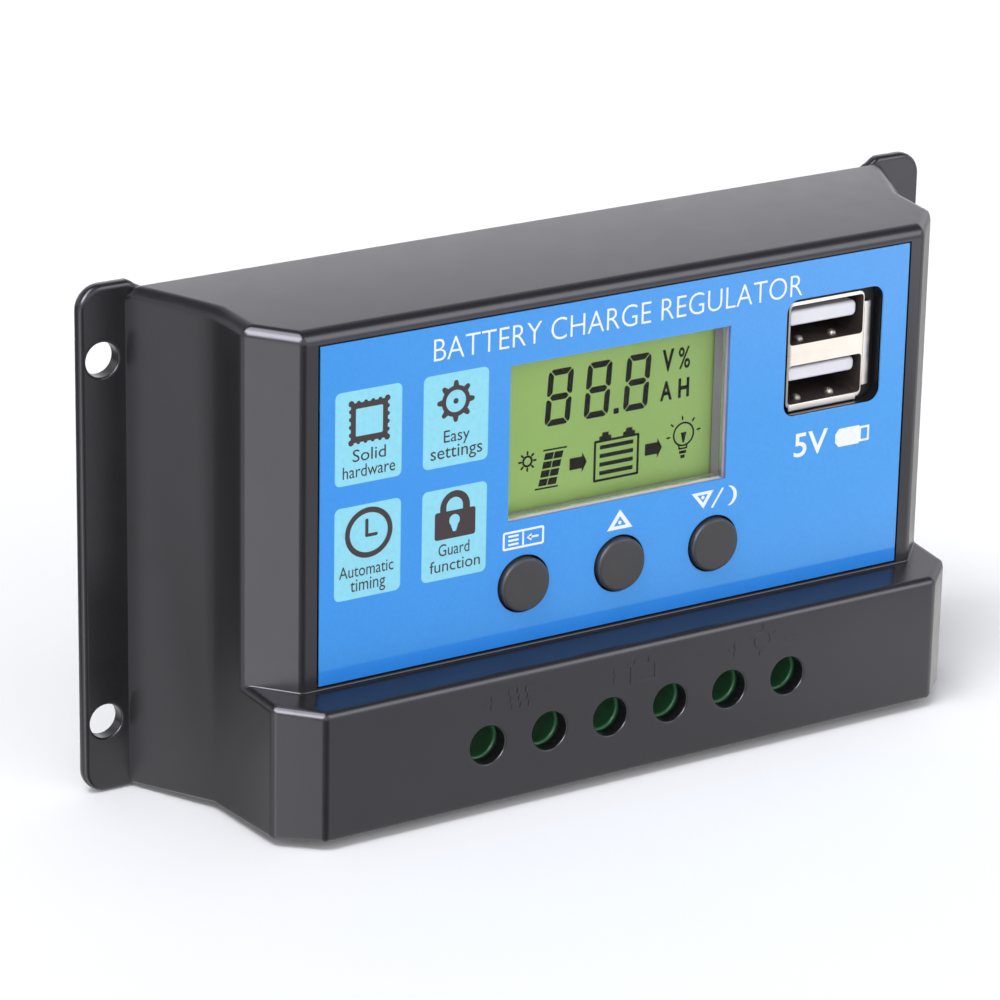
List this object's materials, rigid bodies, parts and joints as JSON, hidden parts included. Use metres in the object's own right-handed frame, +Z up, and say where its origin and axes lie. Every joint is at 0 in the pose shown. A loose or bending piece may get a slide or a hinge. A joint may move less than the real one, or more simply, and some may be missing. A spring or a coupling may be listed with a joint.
{
  "type": "solar charge controller",
  "caption": "Wall-mounted solar charge controller with a display, push buttons, stacked USB sockets and a screw terminal with rising clamps.",
  "frame": {"origin": "centre of the back cover's outer face, on the wall plane, midway between the ears and at mid height", "axes": "+X along the width towards the USB sockets, +Y out of the back towards the wall, +Z up; the front faces -Y"},
  "size_m": [0.1334, 0.0333, 0.0698],
  "materials": {
    "black_abs": "satin moulded ABS, fine texture",
    "button_black": "matte moulded",
    "blue_label": "printed polyester overlay, semi-gloss",
    "board_green": "solder mask over glass-fibre laminate",
    "frame_grey": "light grey moulded frame",
    "clear_window": "clear acrylic",
    "lcd_green": "green reflective display glass",
    "diffuser_white": "white light guide",
    "zebra_rubber": "striped contact elastomer",
    "switch_black": "glass-filled nylon",
    "nickel_shell": "nickel-plated sheet",
    "white_plastic": "white insulator",
    "gold_contacts": "gold-plated spring contacts",
    "terminal_green": "green moulded terminal body",
    "zinc_steel": "zinc-plated steel",
    "tinned_brass": "tinned brass bar",
    "chip_epoxy": "moulded epoxy",
    "capacitor_sleeve": "shrink sleeve",
    "ferrite": "ferrite drum",
    "screw_steel": "plain steel"
  },
  "bodies": {
    "housing": {"front_housing": "black_abs", "back_cover": "black_abs", "case_screw_1": "screw_steel", "case_screw_2": "screw_steel", "case_screw_3": "screw_steel", "case_screw_4": "screw_steel", "front_label": "blue_label", "main_pcb": "board_green", "pcb_screw_1": "screw_steel", "pcb_screw_2": "screw_steel", "pcb_screw_3": "screw_steel", "pcb_screw_4": "screw_steel", "lcd_frame": "frame_grey", "lcd_window": "clear_window", "lcd_glass": "lcd_green", "lcd_backlight": "diffuser_white", "lcd_zebra_strip": "zebra_rubber", "display_board": "board_green", "board_header": "switch_black", "switch_body_left": "switch_black", "switch_body_middle": "switch_black", "switch_body_right": "switch_black", "usb_shell": "nickel_shell", "usb_insulator": "white_plastic", "usb_contacts_upper": "gold_contacts", "usb_contacts_lower": "gold_contacts", "terminal_block": "terminal_green", "terminal_contact_1": "tinned_brass", "terminal_contact_2": "tinned_brass", "terminal_contact_3": "tinned_brass", "terminal_contact_4": "tinned_brass", "terminal_contact_5": "tinned_brass", "terminal_contact_6": "tinned_brass", "power_transistor_1": "chip_epoxy", "power_transistor_2": "chip_epoxy", "power_transistor_3": "chip_epoxy", "power_transistor_4": "chip_epoxy", "capacitor_large": "capacitor_sleeve", "capacitor_small": "capacitor_sleeve", "inductor": "ferrite", "microcontroller": "chip_epoxy", "regulator_chip": "chip_epoxy"},
    "button_left": {"button_cap_left": "button_black", "switch_plunger_left": "switch_black"},
    "button_middle": {"button_cap_middle": "button_black", "switch_plunger_middle": "switch_black"},
    "button_right": {"button_cap_right": "button_black", "switch_plunger_right": "switch_black"},
    "screw_1": {"terminal_screw_1": "zinc_steel"},
    "clamp_1": {"clamp_cage_1": "zinc_steel"},
    "screw_2": {"terminal_screw_2": "zinc_steel"},
    "clamp_2": {"clamp_cage_2": "zinc_steel"},
    "screw_3": {"terminal_screw_3": "zinc_steel"},
    "clamp_3": {"clamp_cage_3": "zinc_steel"},
    "screw_4": {"terminal_screw_4": "zinc_steel"},
    "clamp_4": {"clamp_cage_4": "zinc_steel"},
    "screw_5": {"terminal_screw_5": "zinc_steel"},
    "clamp_5": {"clamp_cage_5": "zinc_steel"},
    "screw_6": {"terminal_screw_6": "zinc_steel"},
    "clamp_6": {"clamp_cage_6": "zinc_steel"}
  },
  "joints": [
    {"name": "button_press_left", "type": "slide", "parent": "housing", "child": "button_left", "axis": [0, 1, 0], "range_m": [0, 0.0004], "stiffness_N_per_m": 600},
    {"name": "button_press_middle", "type": "slide", "parent": "housing", "child": "button_middle", "axis": [0, 1, 0], "range_m": [0, 0.0004], "stiffness_N_per_m": 600},
    {"name": "button_press_right", "type": "slide", "parent": "housing", "child": "button_right", "axis": [0, 1, 0], "range_m": [0, 0.0004], "stiffness_N_per_m": 600},
    {"name": "terminal_screw_turn_1", "type": "hinge", "parent": "housing", "child": "screw_1", "pos_m": [-0.02413, -0.025, -0.0252], "axis": [0, 1, 0], "range_deg": [0, 2160]},
    {"name": "clamp_rise_1", "type": "slide", "parent": "housing", "child": "clamp_1", "axis": [0, -1, 0], "range_m": [0, 0.0036]},
    {"name": "terminal_screw_turn_2", "type": "hinge", "parent": "housing", "child": "screw_2", "pos_m": [-0.01453, -0.025, -0.0252], "axis": [0, 1, 0], "range_deg": [0, 2160]},
    {"name": "clamp_rise_2", "type": "slide", "parent": "housing", "child": "clamp_2", "axis": [0, -1, 0], "range_m": [0, 0.0036]},
    {"name": "terminal_screw_turn_3", "type": "hinge", "parent": "housing", "child": "screw_3", "pos_m": [-0.00493, -0.025, -0.0252], "axis": [0, 1, 0], "range_deg": [0, 2160]},
    {"name": "clamp_rise_3", "type": "slide", "parent": "housing", "child": "clamp_3", "axis": [0, -1, 0], "range_m": [0, 0.0036]},
    {"name": "terminal_screw_turn_4", "type": "hinge", "parent": "housing", "child": "screw_4", "pos_m": [0.00467, -0.025, -0.0252], "axis": [0, 1, 0], "range_deg": [0, 2160]},
    {"name": "clamp_rise_4", "type": "slide", "parent": "housing", "child": "clamp_4", "axis": [0, -1, 0], "range_m": [0, 0.0036]},
    {"name": "terminal_screw_turn_5", "type": "hinge", "parent": "housing", "child": "screw_5", "pos_m": [0.01427, -0.025, -0.0252], "axis": [0, 1, 0], "range_deg": [0, 2160]},
    {"name": "clamp_rise_5", "type": "slide", "parent": "housing", "child": "clamp_5", "axis": [0, -1, 0], "range_m": [0, 0.0036]},
    {"name": "terminal_screw_turn_6", "type": "hinge", "parent": "housing", "child": "screw_6", "pos_m": [0.02387, -0.025, -0.0252], "axis": [0, 1, 0], "range_deg": [0, 2160]},
    {"name": "clamp_rise_6", "type": "slide", "parent": "housing", "child": "clamp_6", "axis": [0, -1, 0], "range_m": [0, 0.0036]}
  ],
  "couplings": [
    {"joint": "terminal_screw_turn_1", "follows": "clamp_rise_1", "rad_per_m": 10472},
    {"joint": "terminal_screw_turn_2", "follows": "clamp_rise_2", "rad_per_m": 10472},
    {"joint": "terminal_screw_turn_3", "follows": "clamp_rise_3", "rad_per_m": 10472},
    {"joint": "terminal_screw_turn_4", "follows": "clamp_rise_4", "rad_per_m": 10472},
    {"joint": "terminal_screw_turn_5", "follows": "clamp_rise_5", "rad_per_m": 10472},
    {"joint": "terminal_screw_turn_6", "follows": "clamp_rise_6", "rad_per_m": 10472}
  ]
}
